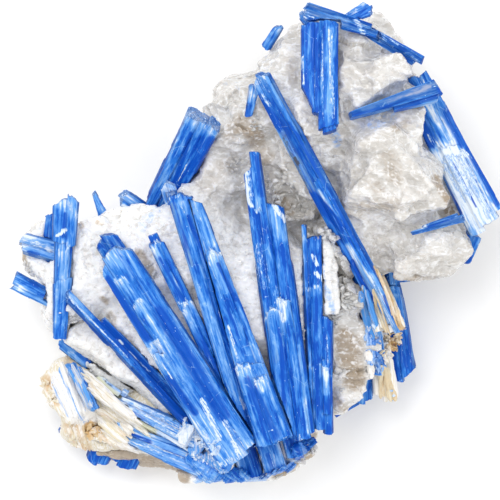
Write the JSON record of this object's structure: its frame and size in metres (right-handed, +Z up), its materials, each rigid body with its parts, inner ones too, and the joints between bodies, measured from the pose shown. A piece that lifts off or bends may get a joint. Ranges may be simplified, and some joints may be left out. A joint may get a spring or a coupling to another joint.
{
  "type": "kyanite blade cluster",
  "caption": "Mineral specimen: long blue kyanite blades fanned and crossed over broken white and glassy quartz, with a pale weathered corner, resting on a flat-cut underside.",
  "frame": {"origin": "under the middle of the whole cluster's bounding box, on the flat-cut underside that it rests on", "axes": "+Z up, out of the face that the blades lie over; +X to the right across the cluster, the side with the broad side blade; +Y from the foot of the fan towards the tall glassy lobe"},
  "size_m": [0.1244, 0.1206, 0.0433],
  "materials": {
    "kyanite": "blue crystal with pale streaks along its length and a soft glassy lustre",
    "pale_kyanite": "pale blue, splintery, nearly matt",
    "weathered_kyanite": "cream to tan altered crystal, fibrous and matt",
    "quartz": "milky white to clear grey, broken and sugary"
  },
  "bodies": {
    "root": {"broad_side_blade": "kyanite", "bundle_lath_crumbly": "kyanite", "bundle_lath_dark": "kyanite", "bundle_lath_tan": "weathered_kyanite", "bundle_stub": "kyanite", "corner_lath": "kyanite", "corner_low_splinter": "kyanite", "corner_splinter": "kyanite", "corner_stub_left": "kyanite", "corner_stub_right": "kyanite", "fan_blade_broad": "kyanite", "fan_blade_centre_left": "kyanite", "fan_blade_centre_right": "kyanite", "fan_blade_edge_on": "kyanite", "fan_blade_right": "kyanite", "fan_blade_slim": "kyanite", "fan_blade_tall": "kyanite", "fan_foot_crumbs": "pale_kyanite", "foot_blade_left": "kyanite", "foot_blade_low": "kyanite", "foot_blade_middle": "kyanite", "foot_blade_right": "kyanite", "hanging_blade": "kyanite", "hidden_tip_blade": "kyanite", "hook_splinter": "kyanite", "leaning_back_blade": "kyanite", "ledge_end_blade": "kyanite", "ledge_sliver": "kyanite", "ledge_under_splinter": "kyanite", "left_stub_dark": "kyanite", "left_stub_lower": "kyanite", "left_stub_upper": "kyanite", "left_upright_blade": "kyanite", "lobe_rim_splinter": "kyanite", "long_diagonal_blade": "kyanite", "pale_flake": "pale_kyanite", "quartz_bar": "quartz", "quartz_matrix": "quartz", "ridge_blade_left": "kyanite", "ridge_blade_right": "kyanite", "ridge_end_splinter": "kyanite", "ridge_point": "kyanite", "rim_point": "kyanite", "rim_stub": "kyanite", "side_rod": "kyanite", "splayed_end": "weathered_kyanite", "sweeping_blade_crusted": "kyanite", "sweeping_blade_low": "kyanite", "sweeping_blade_pale": "pale_kyanite", "sweeping_blade_tan": "weathered_kyanite", "tip_chip": "pale_kyanite", "under_splinter": "kyanite", "upper_blade_pair": "kyanite", "weathered_root": "weathered_kyanite"}
  },
  "joints": []
}
